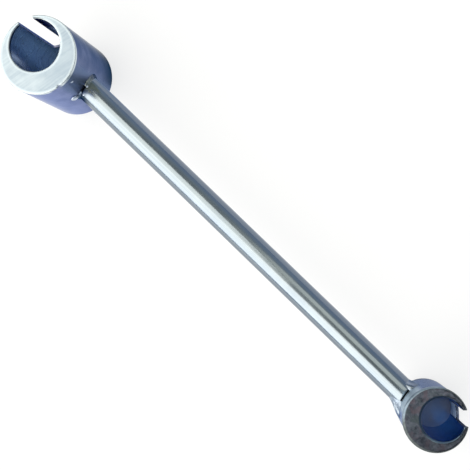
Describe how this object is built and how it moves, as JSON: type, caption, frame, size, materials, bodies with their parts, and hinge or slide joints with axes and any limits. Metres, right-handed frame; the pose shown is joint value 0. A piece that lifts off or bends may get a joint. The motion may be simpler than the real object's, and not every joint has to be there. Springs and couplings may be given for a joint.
{
  "type": "hook spanner",
  "caption": "Double-ended hook spanner: a straight round steel handle with a side-slotted, off-centre bored cup welded across each end, to slip over a bar or hook and turn it.",
  "frame": {"origin": "centre of the large head's flat rear face", "axes": "+Z along the large head's axis towards its open end, +X along the rod towards the small head"},
  "size_m": [0.2212, 0.0313, 0.0464],
  "materials": {
    "rod": "bright drawn bar, blue-bright zinc plated",
    "large_head": "turned steel, blue-bright zinc plated, with a brushed open face",
    "small_head": "turned steel, blue-bright zinc plated, with a dull, stained open face",
    "weld": "rippled fillet weld, plated over"
  },
  "bodies": {
    "root": {"handle_rod": "rod", "large_socket": "large_head", "small_socket": "small_head", "large_weld_left": "weld", "large_weld_right": "weld", "small_weld_left": "weld", "small_weld_right": "weld"}
  },
  "joints": []
}
